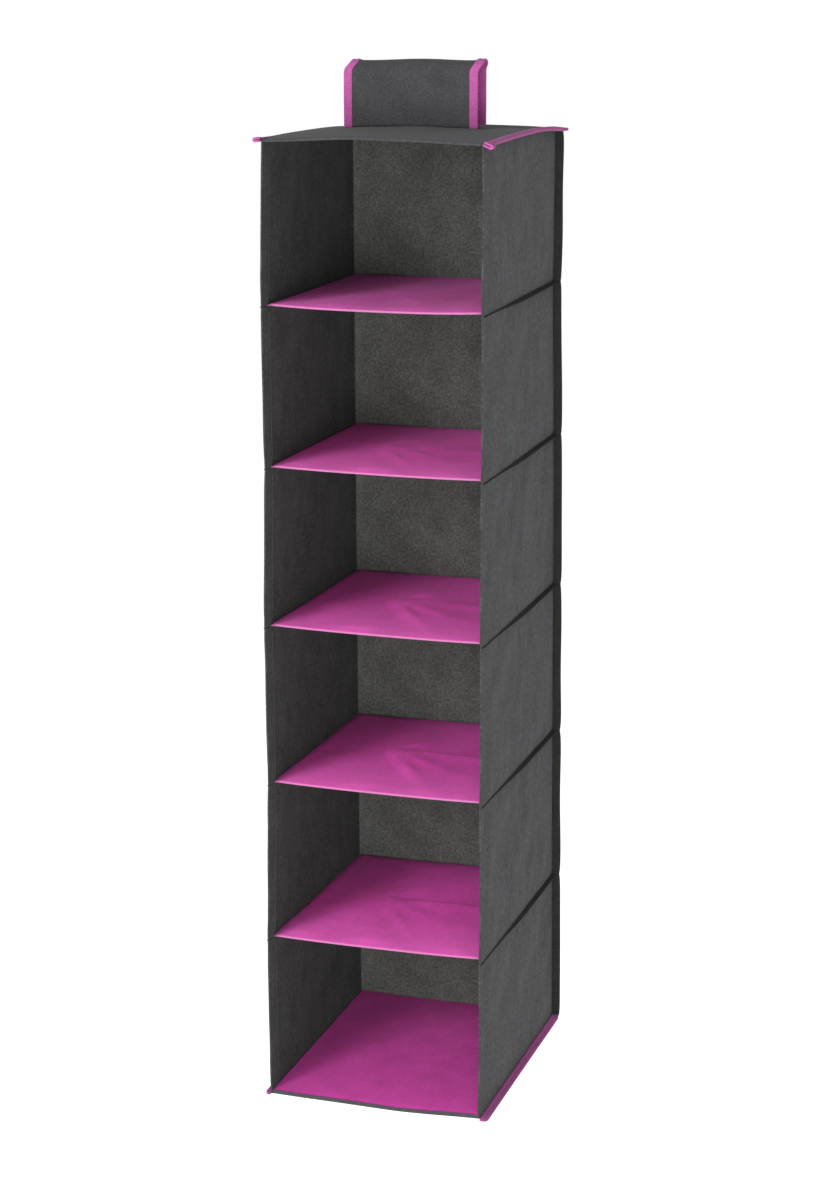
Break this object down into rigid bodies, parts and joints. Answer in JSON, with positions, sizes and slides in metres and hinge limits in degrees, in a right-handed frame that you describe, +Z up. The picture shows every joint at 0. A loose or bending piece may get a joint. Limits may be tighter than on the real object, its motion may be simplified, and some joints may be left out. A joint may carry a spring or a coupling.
{
  "type": "hanging shoe organizer",
  "caption": "Tall fabric shoe organizer that hangs from a closet rod by a wide loop strap: open-fronted compartments stacked between stiffened shelves, with bound edges.",
  "frame": {"origin": "centre of the closet rod inside the strap's loop, midway along the strap", "axes": "+X along the rod, -Y out of the open front, +Z up"},
  "size_m": [0.22, 0.3016, 0.9669],
  "materials": {
    "grey_fabric": "matt spun-bonded non-woven fabric, charcoal grey, faintly mottled",
    "shelf_fabric": "matt spun-bonded non-woven fabric, magenta",
    "grey_binding": "folded non-woven binding tape, dark grey, stitched",
    "magenta_binding": "folded non-woven binding tape, magenta, stitched",
    "board": "pressed grey-brown board",
    "hook_tape": "moulded nylon hooks",
    "loop_tape": "napped nylon loops"
  },
  "bodies": {
    "top_panel": {"top_cover": "grey_fabric", "top_board": "board", "top_lining": "grey_fabric", "top_binding_left": "magenta_binding", "top_binding_right": "magenta_binding", "strap_front": "grey_fabric", "strap_binding_left": "magenta_binding", "strap_binding_right": "magenta_binding", "strap_tab": "grey_fabric", "loop_tape": "loop_tape", "left_wall_1": "grey_fabric", "right_wall_1": "grey_fabric", "back_wall_1": "grey_fabric", "corner_binding_1": "grey_binding"},
    "strap_flap": {"strap_flap": "grey_fabric", "flap_binding_left": "magenta_binding", "flap_binding_right": "magenta_binding", "hook_tape": "hook_tape"},
    "shelf_1": {"shelf_cover_1": "shelf_fabric", "shelf_board_1": "board", "shelf_binding_1": "grey_binding", "left_wall_2": "grey_fabric", "right_wall_2": "grey_fabric", "back_wall_2": "grey_fabric", "corner_binding_2": "grey_binding"},
    "shelf_2": {"shelf_cover_2": "shelf_fabric", "shelf_board_2": "board", "shelf_binding_2": "grey_binding", "left_wall_3": "grey_fabric", "right_wall_3": "grey_fabric", "back_wall_3": "grey_fabric", "corner_binding_3": "grey_binding"},
    "shelf_3": {"shelf_cover_3": "shelf_fabric", "shelf_board_3": "board", "shelf_binding_3": "grey_binding", "left_wall_4": "grey_fabric", "right_wall_4": "grey_fabric", "back_wall_4": "grey_fabric", "corner_binding_4": "grey_binding"},
    "shelf_4": {"shelf_cover_4": "shelf_fabric", "shelf_board_4": "board", "shelf_binding_4": "grey_binding", "left_wall_5": "grey_fabric", "right_wall_5": "grey_fabric", "back_wall_5": "grey_fabric", "corner_binding_5": "grey_binding"},
    "shelf_5": {"shelf_cover_5": "shelf_fabric", "shelf_board_5": "board", "shelf_binding_5": "grey_binding", "left_wall_6": "grey_fabric", "right_wall_6": "grey_fabric", "back_wall_6": "grey_fabric", "corner_binding_6": "grey_binding"},
    "bottom_panel": {"bottom_liner": "shelf_fabric", "bottom_board": "board", "bottom_cover": "grey_fabric", "bottom_binding_left": "magenta_binding", "bottom_binding_right": "magenta_binding"}
  },
  "joints": [
    {"name": "shelf_1_lift", "type": "slide", "parent": "top_panel", "child": "shelf_1", "axis": [0, 0, 1], "range_m": [0, 0.125], "deforming": ["left_wall_1", "right_wall_1", "back_wall_1", "corner_binding_1"]},
    {"name": "shelf_2_lift", "type": "slide", "parent": "shelf_1", "child": "shelf_2", "axis": [0, 0, 1], "range_m": [0, 0.125], "deforming": ["left_wall_2", "right_wall_2", "back_wall_2", "corner_binding_2"]},
    {"name": "shelf_3_lift", "type": "slide", "parent": "shelf_2", "child": "shelf_3", "axis": [0, 0, 1], "range_m": [0, 0.125], "deforming": ["left_wall_3", "right_wall_3", "back_wall_3", "corner_binding_3"]},
    {"name": "shelf_4_lift", "type": "slide", "parent": "shelf_3", "child": "shelf_4", "axis": [0, 0, 1], "range_m": [0, 0.125], "deforming": ["left_wall_4", "right_wall_4", "back_wall_4", "corner_binding_4"]},
    {"name": "shelf_5_lift", "type": "slide", "parent": "shelf_4", "child": "shelf_5", "axis": [0, 0, 1], "range_m": [0, 0.125], "deforming": ["left_wall_5", "right_wall_5", "back_wall_5", "corner_binding_5"]},
    {"name": "bottom_lift", "type": "slide", "parent": "shelf_5", "child": "bottom_panel", "axis": [0, 0, 1], "range_m": [0, 0.125], "deforming": ["left_wall_6", "right_wall_6", "back_wall_6", "corner_binding_6"]},
    {"name": "strap_flap_open", "type": "hinge", "parent": "top_panel", "child": "strap_flap", "pos_m": [0, 0.01068, 0.01068], "axis": [1, 0, 0], "range_deg": [0, 150]}
  ]
}
